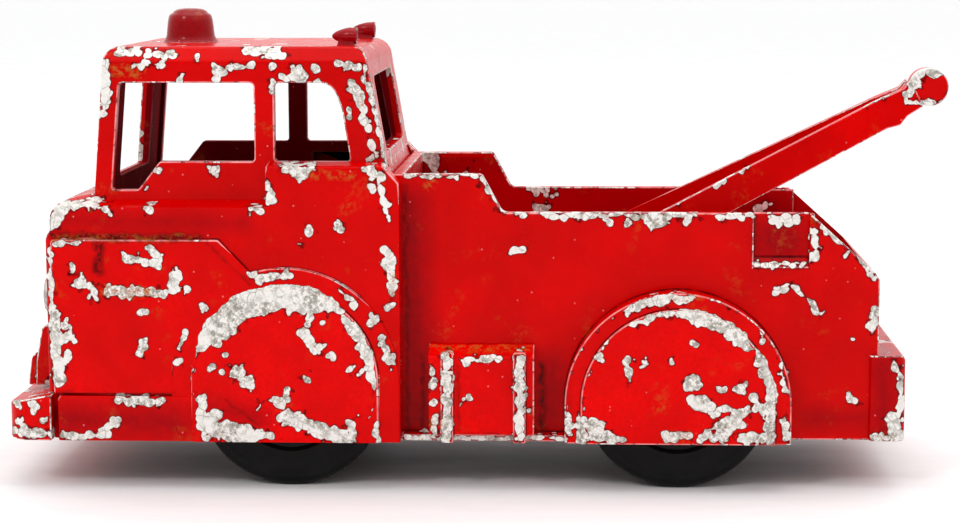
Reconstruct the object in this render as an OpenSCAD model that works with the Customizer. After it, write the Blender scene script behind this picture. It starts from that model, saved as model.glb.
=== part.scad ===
// Toy tow truck: cast cab and bed on a base plate, four free wheels and a pivoting A-frame boom.
// The nose points along -X and +Z is up. The ground is at z = 0 and the origin is under the
// middle of the whole length. Lengths along the truck are written from the nose backwards.

/* [Body] */
// Length of the body over both bumpers
body_l = 101; // [100.6:0.1:103]
// Width over the bed sides and the roof
body_w = 31; // [30.8:0.1:31.4]
// How far the wheel covers stand out from the bed sides
cover_out = 3.5; // [3.3:0.1:3.7]
// Height of the lower edge above the ground
body_z = 5.5; // [5.2:0.1:5.6]
// Wall thickness of the castings
wall = 1.4; // [1.3:0.05:1.5]

/* [Cab] */
// Distance from the nose to the back edge of the cab sides
cab_l = 44.5; // [44:0.1:44.8]
// Height of the roof
roof_z = 49.6; // [49.2:0.1:51]
// Height of the window sills
sill_z = 36.8; // [36.6:0.1:37.2]
// Height of the shoulder below the windows
belt_z = 31.9; // [31.6:0.1:32.2]

/* [Bed] */
// Height of the side rails
rail_z = 31.1; // [30.9:0.1:31.6]
// Height of the raised front part of the rails
high_rail_z = 35.4; // [35.2:0.1:35.8]
// Height of the bed floor
floor_z = 23.3; // [23.2:0.05:23.5]

/* [Wheels] */
// Radius of the tyres
wheel_r = 10.6; // [10.2:0.1:10.6]
// Width of the tyres
tyre_w = 4.8; // [4.4:0.1:4.8]
// Diameter of the axle wires
axle_d = 2; // [1.8:0.1:2.2]
// Distance from the nose to the front axle
front_axle_x = 31.9; // [31.7:0.1:32.1]
// Distance from the nose to the rear axle
rear_axle_x = 75.5; // [75.3:0.1:75.7]

/* [Boom] */
// Length from the foot pin to the centre of the tip
boom_l = 42.1; // [38:0.1:43]
// Resting slope of the boom in degrees
boom_angle = 26.7; // [20:0.1:40]
// Thickness of each arm
arm_t = 1.8; // [1.6:0.1:2]
// Distance from the nose to the foot pin
pivot_x = 67.3; // [66:0.1:68]

/* [Hidden] */
$fn = 72;

red = "#c8102e";
bare = "#b5b7b8";
black = "#151515";
gap = 0.05;               // joint between two castings
run = 0.05;               // radial clearance of a turning fit
snug = 0.02;              // radial clearance of a fixed pin
out = 2;                  // how far a cutter runs past the metal
half_w = body_w / 2;
skirt_y = half_w + cover_out;       // face of the wheel covers
ring_y = skirt_y - 0.4;             // face of the wheel-arch rings
side_y = skirt_y - 0.8;             // face of the cab sides
in_y = half_w - wall;               // inside of the bed sides and of the roof
well_y = skirt_y - 1.5;             // inside of the wheel covers
join_x = cab_l - 1.1;               // back face of the cab between its sides
floor_t = 1.4;
wheel_out_y = well_y - 0.9;         // outer face of the tyres
wheel_in_y = wheel_out_y - tyre_w;
hub_r = 6.2;
hub_w = tyre_w - 0.2;
cap_r = 1.9;
cap_t = 0.6;
ear_y = [wheel_in_y - 2, wheel_in_y - 0.25];
ear_r = 2.3;
plate_z = body_z + 0.3;
plate_t = 1;
post_r = 2.3;
rivet_r = 1;
rivet_head_r = 1.7;
rivet_head_t = 0.5;
rivet_up = 4;
post_xs = [10, 50, 92];
pivot_z = floor_z + 2.1;
eye_r = 1.9;
eye_y = 9.6;              // middle of each foot eye, from the centre line
eye_t = 2;
pin_r = 0.8;
tip_r = 2.15;
tip_w = 4;
overall_l = pivot_x + boom_l * cos(boom_angle) + tip_r;
nose_x = 4.55;            // front face of the cab
bumper_top = 10.6;
bumper_l = 5.1;
tail_x = body_l - 3.05;    // back face of the bed
beacon_x = 18.5;
light_x = 39.3;           // flat back of the work lights
light_y = 10.9;
light_z = roof_z + 1.05;
box_x = [47.7, 59.5];     // front and back of the tool boxes

function unit(v) = v / norm(v);
// An outline of [x, y, r] corners with each corner rounded to its radius r
function soft(pts, steps = 5) = [
    for (i = [0:len(pts) - 1])
        let (
            p = [pts[i][0], pts[i][1]],
            r = pts[i][2],
            before = pts[(i + len(pts) - 1) % len(pts)],
            after = pts[(i + 1) % len(pts)],
            u = unit([before[0], before[1]] - p),
            v = unit([after[0], after[1]] - p),
            half = acos(u * v) / 2
        )
        each (r == 0
            ? [p]
            : let (c = p + unit(u + v) * r / sin(half), d = r / tan(half))
              [for (k = [0:steps]) c + r * unit((p + u * d - c) * (steps - k) + (p + v * d - c) * k)])
];

module from_nose() {
    translate([-overall_l / 2, 0, 0]) children();
}

module both_sides() {
    children();
    mirror([0, 1, 0]) children();
}

// A side outline in X and Z, from y0 to y1
module side_slab(pts, y0, y1) {
    translate([0, y1, 0]) rotate([90, 0, 0]) linear_extrude(y1 - y0) polygon(pts);
}

// A cross-section in Y and Z, from x0 to x1
module cross_slab(pts, x0, x1) {
    translate([x0, 0, 0]) rotate([90, 0, 90]) linear_extrude(x1 - x0) polygon(pts);
}

// A plan outline in X and Y, from z0 to z1
module plan_slab(pts, z0, z1) {
    translate([0, 0, z0]) linear_extrude(z1 - z0) polygon(pts);
}

module block(x, y, z) {
    translate([x[0], y[0], z[0]]) cube([x[1] - x[0], y[1] - y[0], z[1] - z[0]]);
}

// A round bar across the truck
module cross_bar(x, z, r, y0, y1) {
    translate([x, y1, z]) rotate([90, 0, 0]) cylinder(r = r, h = y1 - y0);
}

// A half-round wheel cover with straight sides down to the lower edge
module arch(x, z, r, y0, y1) {
    intersection() {
        cross_bar(x, z, r, y0, y1);
        block([x - r, x + r], [y0, y1], [body_z, z + r]);
    }
    block([x - r, x + r], [y0, y1], [body_z, z]);
}

module wheel_well(x, r) {
    cross_bar(x, wheel_r, r, -well_y, -wheel_in_y + 1);
    block([x - r, x + r], [-well_y, -wheel_in_y + 1], [body_z - out, wheel_r]);
}

// Room for the base plate under the walls where the two castings meet
module plate_passage() {
    block([join_x - wall - 0.1, join_x + wall + 0.2], [-in_y, in_y], [body_z - 1, plate_z + plate_t + gap]);
}

module post(x, z1) {
    difference() {
        translate([x, 0, plate_z + plate_t]) cylinder(r = post_r, h = z1 - plate_z - plate_t);
        translate([x, 0, body_z]) cylinder(r = rivet_r + snug, h = rivet_up + 1);
    }
}

// ---- cab ----

front_arch_z = 12.4;
front_arch_x = 31.6;
ring_r = 12.8;
cover_r = 10.5;

function house_outline() = soft([
    [9.9, belt_z - 3, 0], [9.9, belt_z + 0.9, 0], [11.25, roof_z, 1.6], [40.6, roof_z, 2],
    [42.9, sill_z - 0.5, 1], [join_x, sill_z - 2, 0.4], [join_x, belt_z - 3, 0]
]);

function house_section() = soft([
    [-half_w, belt_z - 4, 0], [-half_w, roof_z - 1.6, 0.5], [-half_w + 1.5, roof_z, 0.9],
    [half_w - 1.5, roof_z, 0.9], [half_w, roof_z - 1.6, 0.5], [half_w, belt_z - 4, 0]
]);

function lower_outline() = soft([
    [bumper_l + gap, body_z, 0], [bumper_l + gap, bumper_top + gap, 0], [nose_x, bumper_top + gap, 0],
    [nose_x, 28.4, 0.5], [bumper_l, 29.1, 0.3], [bumper_l, belt_z + 0.3, 2.4],
    [9.9, belt_z + 1.2, 0], [join_x, belt_z + 1.2, 0], [join_x, body_z, 0]
]);

function nose_plan() = soft([
    [nose_x - 0.1, -side_y + 0.9, 0.9], [10.6, -side_y, 0], [cab_l, -side_y, 0],
    [cab_l, side_y, 0], [10.6, side_y, 0], [nose_x - 0.1, side_y - 0.9, 0.9]
]);

function shoulder_section() = soft([
    [-side_y - 1, body_z - 1, 0], [-side_y - 1, belt_z - 0.4, 0], [-side_y, belt_z, 0.3],
    [-half_w, belt_z + 0.6, 0.3], [-half_w + 1.6, belt_z + 1.2, 0.3],
    [half_w - 1.6, belt_z + 1.2, 0.3], [half_w, belt_z + 0.6, 0.3],
    [side_y, belt_z, 0.3], [side_y + 1, belt_z - 0.4, 0], [side_y + 1, body_z - 1, 0]
]);

// Back part of each cab side, which stands out to the full width up to the sill
module quarter_panel() {
    intersection() {
        cross_slab(soft([
            [-side_y - 0.12, body_z, 0], [-side_y - 0.12, sill_z - 0.3, 0.4],
            [-half_w, sill_z, 0.2], [-in_y, sill_z, 0], [-in_y, body_z, 0]
        ]), 29.7, cab_l);
        side_slab(soft([
            [29.6, body_z, 0], [29.6, sill_z, 0], [cab_l - 2, sill_z, 0.4],
            [cab_l, sill_z - 2.2, 0.5], [cab_l, body_z, 0]
        ]), -side_y - 0.12, -in_y);
    }
}

// Raised panel on each front wing
module wing_panel() {
    side_slab(soft([
        [nose_x + 0.9, 10.95, 0], [nose_x + 0.9, 28.3, 0.4], [24.3, 28.3, 0.5], [28.6, 23.8, 0],
        [28.6, 14, 0], [18.9, 14, 0], [18.9, 10.95, 0]
    ]), -side_y - 0.45, -side_y + 0.3);
}

// Band along the lower edge in front of the wheel cover
module sill_band() {
    side_slab([[5.9, body_z], [5.9, 10.3], [6.1, 10.6], [22, 10.6], [22, body_z]], -side_y - 0.5, -side_y + 0.3);
}

module side_window_cut() {
    side_slab(soft([
        [11.95, 33.6, 0.3], [12.95, 45.6, 0.5], [28.1, 45.6, 0.5], [28.1, sill_z, 0.4],
        [17.4, sill_z, 0.5], [14.9, 33.6, 0.5]
    ]), -side_y, -in_y + 1);
    side_slab(soft([
        [30.4, sill_z, 0.4], [30.4, 45.6, 0.5], [36.9, 45.6, 1.9], [38, 42.6, 4], [38.9, sill_z, 0.4]
    ]), -side_y, -in_y + 1);
}

module windscreen_cut() {
    cross_slab(soft([
        [-8.9, 34.6, 0.6], [-8.9, 45.9, 0.8], [8.9, 45.9, 0.8], [8.9, 34.6, 0.6]
    ]), 8, 15);
}

module rear_window_cut() {
    cross_slab(soft([
        [-11.4, 37.6, 0.6], [-11.4, 46.1, 0.9], [11.4, 46.1, 0.9], [11.4, 37.6, 0.6]
    ]), 39, cab_l);
}

module cab_inside() {
    block([6.6, join_x - wall], [-side_y + wall, side_y - wall], [body_z - out, belt_z - 1]);
    block([31.1, join_x - wall], [-side_y + wall, side_y - wall], [belt_z - 2, sill_z - wall]);
    side_slab(soft([
        [11.4, belt_z - 2, 0], [11.4, belt_z + 1, 0], [12.7, roof_z - wall, 1], [39.1, roof_z - wall, 1.2],
        [41.35, sill_z - 0.5, 0], [join_x - wall, sill_z - 2, 0], [join_x - wall, belt_z - 2, 0]
    ]), -in_y, in_y);
}

module cab_shell() {
    color(red) from_nose() difference() {
        union() {
            difference() {
                union() {
                    intersection() {
                        side_slab(house_outline(), -half_w, half_w);
                        cross_slab(house_section(), 9, cab_l);
                    }
                    intersection() {
                        side_slab(lower_outline(), -side_y, side_y);
                        plan_slab(nose_plan(), body_z - 1, sill_z);
                        cross_slab(shoulder_section(), nose_x - 1, cab_l);
                    }
                    both_sides() {
                        quarter_panel();
                        wing_panel();
                        sill_band();
                        arch(front_arch_x, front_arch_z, ring_r, -ring_y, -side_y + 0.5);
                        arch(front_arch_x, front_arch_z, cover_r, -skirt_y, -side_y + 0.5);
                    }
                }
                cab_inside();
                both_sides() {
                    wheel_well(front_axle_x, wheel_r + 0.8);
                    side_window_cut();
                }
                windscreen_cut();
                rear_window_cut();
            }
            post(post_xs[0], 24);
            block([6, 8.2], [-1, 1], [plate_z + plate_t, 24]);
        }
        block([join_x, cab_l + 1], [-half_w - gap, half_w + gap], [body_z - 1, roof_z]);
        plate_passage();
    }
}

// ---- bed ----

rear_arch_z = 9.9;
rear_ring_r = 12.6;
rear_cover_r = 10.8;
pocket_x = [83.9, 90.1];

function bed_outline() = soft([
    [join_x + gap, body_z, 0], [join_x + gap, high_rail_z, 0.3], [53.6, high_rail_z, 0.5],
    [55.9, rail_z, 1], [pocket_x[1], rail_z, 0.8], [97.4, 24.5, 0.9], [tail_x, 23.7, 0],
    [tail_x, body_z, 0]
]);

module pocket_cut() {
    cross_slab([
        [-half_w - 1, rail_z - 6.1], [-half_w, rail_z - 6.1], [-half_w + 1, rail_z - 5],
        [-half_w + 1, rail_z + 1], [-half_w - 1, rail_z + 1]
    ], pocket_x[0], pocket_x[1]);
}

module boom_lug() {
    y0 = -eye_y - eye_t / 2 - 0.2 - arm_t * 0.7;
    difference() {
        union() {
            cross_bar(pivot_x, pivot_z, eye_r, y0, y0 + arm_t * 0.7);
            block([pivot_x - eye_r, pivot_x + eye_r], [y0, y0 + arm_t * 0.7], [floor_z - 0.5, pivot_z]);
        }
        cross_bar(pivot_x, pivot_z, pin_r + snug, -half_w, 0);
    }
}

module bed_shell() {
    color(red) from_nose() difference() {
        union() {
            difference() {
                union() {
                    side_slab(bed_outline(), -half_w, half_w);
                    both_sides() {
                        arch(rear_axle_x, rear_arch_z, rear_ring_r, -ring_y, -half_w + 0.5);
                        arch(rear_axle_x, rear_arch_z, rear_cover_r, -skirt_y, -half_w + 0.5);
                        block([cab_l + gap, 63], [-side_y + 0.7, -half_w + 0.5], [body_z, body_z + 0.7]);
                    }
                }
                block([join_x + gap + wall, tail_x - wall], [-in_y, in_y], [floor_z, high_rail_z + 1]);
                block([join_x + gap + wall, tail_x - wall], [-in_y, in_y],
                    [body_z - out, floor_z - floor_t]);
                both_sides() wheel_well(rear_axle_x, wheel_r + 0.5);
            }
            both_sides() {
                block([pocket_x[0] - 1, pocket_x[1] + 0.6], [-in_y - 0.1, -in_y + 0.9],
                    [floor_z - 0.5, rail_z - 0.2]);
                boom_lug();
            }
            post(post_xs[1], floor_z - floor_t + 0.2);
            post(post_xs[2], floor_z - floor_t + 0.2);
        }
        both_sides() pocket_cut();
        plate_passage();
    }
}

// ---- underside ----

module axle_ear(x) {
    both_sides() difference() {
        union() {
            cross_bar(x, wheel_r, ear_r, -ear_y[1], -ear_y[0]);
            block([x - ear_r, x + ear_r], [-ear_y[1], -ear_y[0]], [plate_z, wheel_r]);
        }
        cross_bar(x, wheel_r, axle_d / 2 + snug, -ear_y[1] - 1, -ear_y[0] + 1);
    }
}

module base_plate() {
    plate_y = in_y - 0.2;
    color(black) from_nose() difference() {
        union() {
            block([6.9, tail_x - wall - 0.3], [-plate_y, plate_y], [plate_z, plate_z + plate_t]);
            axle_ear(front_axle_x);
            axle_ear(rear_axle_x);
        }
        both_sides() for (x = [front_axle_x, rear_axle_x])
            block([x - wheel_r - 0.5, x + wheel_r + 0.5], [-plate_y - 1, -ear_y[1] - 0.01],
                [plate_z - 1, plate_z + plate_t + 1]);
        for (x = post_xs) translate([x, 0, body_z - 1]) {
            cylinder(r = rivet_r + snug, h = 4);
            cylinder(r = rivet_head_r + snug, h = plate_z + rivet_head_t - body_z + 1);
        }
    }
}

module base_rivets() {
    color(bare) from_nose() for (x = post_xs) translate([x, 0, plate_z]) {
        cylinder(r = rivet_r, h = rivet_up);
        cylinder(r = rivet_head_r, h = rivet_head_t);
    }
}

module axle(x) {
    color(bare) from_nose() cross_bar(x, wheel_r, axle_d / 2, -wheel_out_y - cap_t, wheel_out_y + cap_t);
}

module axle_caps() {
    color(bare) from_nose() both_sides() for (x = [front_axle_x, rear_axle_x]) difference() {
        cross_bar(x, wheel_r, cap_r, -wheel_out_y - cap_t, -wheel_out_y - 0.1);
        cross_bar(x, wheel_r, axle_d / 2, -skirt_y, 0);
    }
}

// ---- wheels ----

// Turns a profile of [radius, distance] points about a line across the truck
module turned(x, y, pts) {
    translate([x, y, wheel_r]) rotate([90, 0, 0]) rotate_extrude() polygon(pts);
}

module tyre(x, side) {
    h = tyre_w / 2;
    color(black) from_nose() turned(x, side * (wheel_in_y + h), soft([
        [hub_r, -h + 0.3, 0], [hub_r + 0.4, -h, 0], [wheel_r, -h, 1.1],
        [wheel_r, h, 1.1], [hub_r + 0.4, h, 0], [hub_r, h - 0.3, 0]
    ]));
}

module hub(x, side) {
    h = hub_w / 2;
    bore = axle_d / 2 + run;
    color(black) from_nose() turned(x, side * (wheel_in_y + tyre_w / 2), [
        [bore, -h], [2.6, -h], [3.1, -h + 1], [5.2, -h + 1], [5.5, -h + 0.2], [hub_r, -h + 0.2],
        [hub_r, h - 0.2], [5.5, h - 0.2], [5.2, h - 1], [3.1, h - 1], [2.6, h], [bore, h]
    ]);
}

// ---- bumpers, grille and lamps ----

module front_bumper() {
    color(red) from_nose() intersection() {
        plan_slab(soft([
            [0, -skirt_y + 0.3, 2.6], [bumper_l, -skirt_y + 0.1, 0],
            [bumper_l, skirt_y - 0.1, 0], [0, skirt_y - 0.3, 2.6]
        ]), body_z, bumper_top + 1);
        side_slab(soft([
            [0, body_z, 0.3], [0, bumper_top - 0.9, 0.5], [nose_x, bumper_top, 0],
            [bumper_l, bumper_top, 0], [bumper_l, body_z, 0]
        ]), -skirt_y, skirt_y);
    }
}

module grille() {
    color(red) from_nose() difference() {
        side_slab([
            [nose_x - 0.02, bumper_top + gap], [1.95, bumper_top + gap], [2.05, 13.5], [2.75, 17.2],
            [3.1, 17.6], [nose_x - 0.02, 17.8]
        ], -12.5, 12.5);
        for (i = [0:3]) block([1, 3.6], [-8.2, 8.2], [11.6 + i * 1.5, 12.3 + i * 1.5]);
    }
}

module bumper_guards() {
    color(red) from_nose() both_sides() side_slab([
        [1.93, bumper_top + gap], [1, bumper_top + gap], [1.3, 13.2], [1.7, 14.2], [1.93, 14.3]
    ], -12.3, -10.7);
}

module headlamps() {
    color(bare) from_nose() both_sides() translate([nose_x - 0.02, -14, 21.5]) rotate([0, -90, 0])
        rotate_extrude() polygon([[0, 0], [2.2, 0], [2.2, 0.5], [1.8, 0.7], [1.6, 0.45], [0, 0.6]]);
}

module rear_bumper() {
    top = 15.2;
    side = half_w + 0.7;
    color(red) from_nose() difference() {
        intersection() {
            plan_slab(soft([
                [tail_x - 1, -side, 0.4], [body_l, -side, 1.2], [body_l, side, 1.2], [tail_x - 1, side, 0.4]
            ]), body_z, top);
            side_slab(soft([
                [tail_x - 1, body_z, 0], [tail_x - 1, top, 0], [body_l, top, 0.7], [body_l, body_z, 0.3]
            ]), -side, side);
        }
        block([tail_x - 2, tail_x + gap], [-half_w - gap, half_w + gap], [body_z - 1, top + 1]);
    }
}

// ---- tool boxes ----

module tool_box(side) {
    top = 16.25;
    low = body_z + 0.75;
    rib_top = top - 0.45;
    color(red) from_nose() mirror([0, side > 0 ? 1 : 0, 0]) {
        cross_slab(soft([
            [-half_w - 0.01, low, 0], [-side_y, low, 0], [-side_y, top - 1.1, 0.4],
            [-half_w - 0.6, top, 0.4], [-half_w - 0.01, top, 0]
        ]), box_x[0], box_x[1]);
        for (x = [49.05, 57.15])
            side_slab(soft([
                [x, body_z, 0], [x, rib_top, 0.3], [x + 1.4, rib_top, 0.3], [x + 1.4, body_z, 0]
            ]), -side_y - 0.5, -side_y + 0.6);
    }
}

// ---- roof ----

module roof_beacon() {
    color(red) from_nose() translate([beacon_x, 0, roof_z]) rotate_extrude() polygon(soft([
        [0, 0, 0], [3.3, 0, 0], [2.85, 0.35, 0.4], [2.5, 3.3, 0.4], [1.6, 3.8, 0.8], [0, 4, 0]
    ]));
}

// A bullet-shaped lamp that faces backwards, on a low foot
module work_light(side) {
    l = 2.9;
    r = 0.95;
    color(red) from_nose() translate([light_x, side * light_y, light_z]) {
        rotate([0, -90, 0]) rotate_extrude()
            polygon([for (a = [0:9:90]) [r * cos(a), l * sin(a)], [0, 0]]);
        translate([-2, -0.6, -light_z + roof_z]) cube([1.6, 1.2, light_z - roof_z]);
    }
}

// ---- boom ----

module at_pivot() {
    translate([pivot_x, 0, pivot_z]) rotate([0, -boom_angle, 0]) children();
}

// Side outline of one arm, along its own length from the foot pin
function arm_outline() = soft([
    [0, -eye_r + 0.05, 0], [0, 1.6, 0.5], [boom_l - 5, 1.45, 2], [boom_l - 2.2, 1.3, 0.6],
    [boom_l - 1, 1.8, 0], [boom_l - 1, -1.6, 0], [boom_l - 3.2, -1.75, 0.9], [boom_l - 4.4, -2.3, 0.3],
    [boom_l - 6, -1.95, 1], [4, -2.2, 2]
]);

module boom_arm() {
    slant = atan((eye_y - tip_w / 2 + arm_t / 2) / boom_l);
    translate([0, -eye_y, 0]) rotate([0, 0, slant])
        side_slab(arm_outline(), -arm_t / 2, arm_t / 2);
    cross_bar(0, 0, eye_r, -eye_y - eye_t / 2, -eye_y + eye_t / 2);
}

module boom() {
    color(red) from_nose() at_pivot() difference() {
        union() {
            both_sides() boom_arm();
            cross_bar(boom_l, 0, tip_r, -tip_w / 2, tip_w / 2);
        }
        cross_bar(0, 0, pin_r + run, -half_w, half_w);
    }
}

module boom_pin() {
    pin_y = eye_y + eye_t / 2 + 0.2 + arm_t * 0.7;
    color(bare) from_nose() cross_bar(pivot_x, pivot_z, pin_r, -pin_y, pin_y);
}

cab_shell();
bed_shell();
base_plate();
base_rivets();
front_bumper();
bumper_guards();
grille();
headlamps();
rear_bumper();
tool_box(-1);  // tool_box_left
tool_box(1);  // tool_box_right
roof_beacon();
work_light(-1);  // work_light_left
work_light(1);  // work_light_right
boom();
boom_pin();
axle(front_axle_x);  // front_axle
axle(rear_axle_x);  // rear_axle
axle_caps();
tyre(front_axle_x, -1);  // tyre_front_left
hub(front_axle_x, -1);  // hub_front_left
tyre(front_axle_x, 1);  // tyre_front_right
hub(front_axle_x, 1);  // hub_front_right
tyre(rear_axle_x, -1);  // tyre_rear_left
hub(rear_axle_x, -1);  // hub_rear_left
tyre(rear_axle_x, 1);  // tyre_rear_right
hub(rear_axle_x, 1);  // hub_rear_right
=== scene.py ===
"""Looks of a worn die-cast toy tow truck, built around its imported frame.

Lengths in the pieces and finishes are millimetres: x runs back from the nose, y to the right of
the middle and z up from the ground. They are turned to metres where a mesh is made.
"""

import logging
import math
from collections.abc import Callable, Iterable, Sequence
from dataclasses import dataclass
from enum import Enum

import bmesh
import bpy
from mathutils import Matrix, Vector, noise


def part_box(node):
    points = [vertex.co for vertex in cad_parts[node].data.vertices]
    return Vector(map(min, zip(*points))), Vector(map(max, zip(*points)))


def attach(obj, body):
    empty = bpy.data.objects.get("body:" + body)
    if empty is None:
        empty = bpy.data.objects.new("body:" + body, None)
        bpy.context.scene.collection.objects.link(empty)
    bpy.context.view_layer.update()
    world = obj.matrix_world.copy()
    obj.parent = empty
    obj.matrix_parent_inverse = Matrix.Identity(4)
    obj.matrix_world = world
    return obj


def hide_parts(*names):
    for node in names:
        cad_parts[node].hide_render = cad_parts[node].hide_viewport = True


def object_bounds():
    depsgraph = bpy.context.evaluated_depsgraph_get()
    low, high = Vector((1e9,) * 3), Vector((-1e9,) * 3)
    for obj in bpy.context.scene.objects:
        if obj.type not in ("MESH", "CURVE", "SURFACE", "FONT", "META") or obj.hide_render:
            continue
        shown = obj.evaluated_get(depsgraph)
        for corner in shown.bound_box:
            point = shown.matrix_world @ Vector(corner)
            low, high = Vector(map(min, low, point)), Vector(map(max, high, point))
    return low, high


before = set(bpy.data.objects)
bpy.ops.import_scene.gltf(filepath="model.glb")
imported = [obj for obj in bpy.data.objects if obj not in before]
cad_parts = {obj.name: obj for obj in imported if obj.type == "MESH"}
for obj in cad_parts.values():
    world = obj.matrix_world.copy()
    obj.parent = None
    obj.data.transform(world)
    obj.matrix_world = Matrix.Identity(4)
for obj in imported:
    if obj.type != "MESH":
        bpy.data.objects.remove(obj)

LOG = logging.getLogger("tow_truck")
MM = 0.001
CAD_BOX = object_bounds()
NOSE = CAD_BOX[0].x

Colour = tuple[float, float, float]
Point = tuple[float, float, float]
Socket = bpy.types.NodeSocket
Input = Socket | float | Sequence[float]


def place(x: float, y: float, z: float) -> Vector:
    """Turns a place in millimetres from the nose into metres in the frame."""
    return Vector((NOSE + x * MM, y * MM, z * MM))


class Slot(Enum):
    """The material slots of the part."""

    RED_ENAMEL = "red_enamel"
    WORN_METAL = "worn_metal"
    BARE_STEEL = "bare_steel"
    PLATE_STEEL = "plate_steel"
    TYRE = "tyre_black"
    HUB = "hub_black"


class Body(Enum):
    """The bodies that the pieces ride on."""

    TRUCK = "truck"
    BOOM = "boom"
    FRONT_LEFT = "wheel_front_left"
    FRONT_RIGHT = "wheel_front_right"
    REAR_LEFT = "wheel_rear_left"
    REAR_RIGHT = "wheel_rear_right"


# ---------------------------------------------------------------- node graphs


class NodeGraph:
    """Builds one material's nodes, with lengths in millimetres from the nose."""

    def __init__(self, name: str) -> None:
        """Starts a material that has only its shader and output.

        Args:
            name: The material's name.
        """
        self.material = bpy.data.materials.new(name)
        self.material.use_nodes = True
        self.nodes = self.material.node_tree.nodes
        self.links = self.material.node_tree.links
        self.shader = self.nodes["Principled BSDF"]
        coordinates = self.nodes.new("ShaderNodeTexCoord")
        metres = coordinates.outputs["Object"]
        self.at = self.vector("MULTIPLY_ADD", metres, (1 / MM, 1 / MM, 1 / MM), (-NOSE / MM, 0, 0))

    def feed(self, socket: Socket, value: Input) -> None:
        """Links or sets one input.

        Args:
            socket: The input.
            value: Another node's output, or a constant.
        """
        if isinstance(value, bpy.types.NodeSocket):
            self.links.new(value, socket)
        elif socket.type == "RGBA":
            socket.default_value = (*value, 1.0)
        else:
            socket.default_value = value

    def math(self, operation: str, a: Input, b: Input = 0.0, c: Input = 0.0, clamp: bool = False) -> Socket:
        """Adds a Math node.

        Args:
            operation: Blender's name of the operation.
            a: First value.
            b: Second value.
            c: Third value.
            clamp: Keeps the result between 0 and 1.

        Returns:
            Its result.
        """
        node = self.nodes.new("ShaderNodeMath")
        node.operation = operation
        node.use_clamp = clamp
        for socket, value in zip(node.inputs, (a, b, c)):
            self.feed(socket, value)
        return node.outputs[0]

    def vector(self, operation: str, a: Input, b: Input = (0, 0, 0), c: Input = (0, 0, 0)) -> Socket:
        """Adds a Vector Math node.

        Args:
            operation: Blender's name of the operation.
            a: First vector.
            b: Second vector, or the factor of SCALE.
            c: Third vector.

        Returns:
            Its vector, or its value for operations that give a number.
        """
        node = self.nodes.new("ShaderNodeVectorMath")
        node.operation = operation
        self.feed(node.inputs[0], a)
        if operation == "SCALE":
            self.feed(node.inputs["Scale"], b)
        else:
            self.feed(node.inputs[1], b)
            self.feed(node.inputs[2], c)
        number = operation in ("DISTANCE", "DOT_PRODUCT", "LENGTH")
        return node.outputs["Value" if number else "Vector"]

    def noise(
        self, at: Input, size: float, detail: float = 2.0, roughness: float = 0.5, colour: bool = False
    ) -> Socket:
        """Adds a Noise texture.

        Args:
            at: Where it is read, in millimetres.
            size: Size of its blotches in millimetres.
            detail: Number of finer layers.
            roughness: Strength of the finer layers.
            colour: Gives three values and not one.

        Returns:
            Its value or colour.
        """
        node = self.nodes.new("ShaderNodeTexNoise")
        self.feed(node.inputs["Vector"], at)
        node.inputs["Scale"].default_value = 1.0 / size
        node.inputs["Detail"].default_value = detail
        node.inputs["Roughness"].default_value = roughness
        return node.outputs["Color" if colour else "Fac"]

    def cells(self, at: Input, size: float, feature: str = "F1", colour: bool = False) -> Socket:
        """Adds a Voronoi texture.

        Args:
            at: Where it is read, in millimetres.
            size: Size of a cell in millimetres.
            feature: Blender's name of what is measured.
            colour: Gives each cell's own colour and not the distance.

        Returns:
            Its distance or colour.
        """
        node = self.nodes.new("ShaderNodeTexVoronoi")
        node.feature = feature
        self.feed(node.inputs["Vector"], at)
        node.inputs["Scale"].default_value = 1.0 / size
        return node.outputs["Color" if colour else "Distance"]

    def ramp(self, value: Input, low: float, high: float, start: float = 0.0, end: float = 1.0) -> Socket:
        """Maps a range of a value to another range and holds it at both ends.

        Args:
            value: What is mapped.
            low: Where the range starts.
            high: Where the range ends.
            start: The result at low.
            end: The result at high.

        Returns:
            The mapped value.
        """
        node = self.nodes.new("ShaderNodeMapRange")
        names = ("Value", "From Min", "From Max", "To Min", "To Max")
        for name, given in zip(names, (value, low, high, start, end)):
            self.feed(node.inputs[name], given)
        return node.outputs[0]

    def blend(self, factor: Input, a: Input, b: Input) -> Socket:
        """Mixes two colours.

        Args:
            factor: Share of the second colour.
            a: First colour.
            b: Second colour.

        Returns:
            The mixed colour.
        """
        node = self.nodes.new("ShaderNodeMix")
        node.data_type = "RGBA"
        colours = [s for s in node.inputs if s.type == "RGBA"]
        self.feed(node.inputs[0], factor)
        self.feed(colours[0], a)
        self.feed(colours[1], b)
        return next(s for s in node.outputs if s.type == "RGBA")

    def part(self, vector: Input, axis: str) -> Socket:
        """Takes one part of a vector.

        Args:
            vector: The vector.
            axis: X, Y or Z.

        Returns:
            That part.
        """
        node = self.nodes.new("ShaderNodeSeparateXYZ")
        self.feed(node.inputs[0], vector)
        return node.outputs[axis]

    def edge(self, sign: float = 1.0) -> Socket:
        """Reads where the rounded edges are: the outer ones for 1, the inner corners for -1."""
        node = self.nodes.new("ShaderNodeAttribute")
        node.attribute_name = EDGE
        return self.math("MULTIPLY", node.outputs["Fac"], sign, clamp=True)

    def bump(self, height: Input, depth: float, strength: float = 1.0, below: Socket | None = None) -> Socket:
        """Adds a Bump node.

        Args:
            height: Height between 0 and 1.
            depth: What a height of 1 is in millimetres.
            strength: Share of the bump that is used.
            below: The normal it is laid on.

        Returns:
            The bumped normal.
        """
        node = self.nodes.new("ShaderNodeBump")
        node.inputs["Strength"].default_value = strength
        node.inputs["Distance"].default_value = depth * MM
        self.feed(node.inputs["Height"], height)
        if below is not None:
            self.feed(node.inputs["Normal"], below)
        return node.outputs[0]

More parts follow.
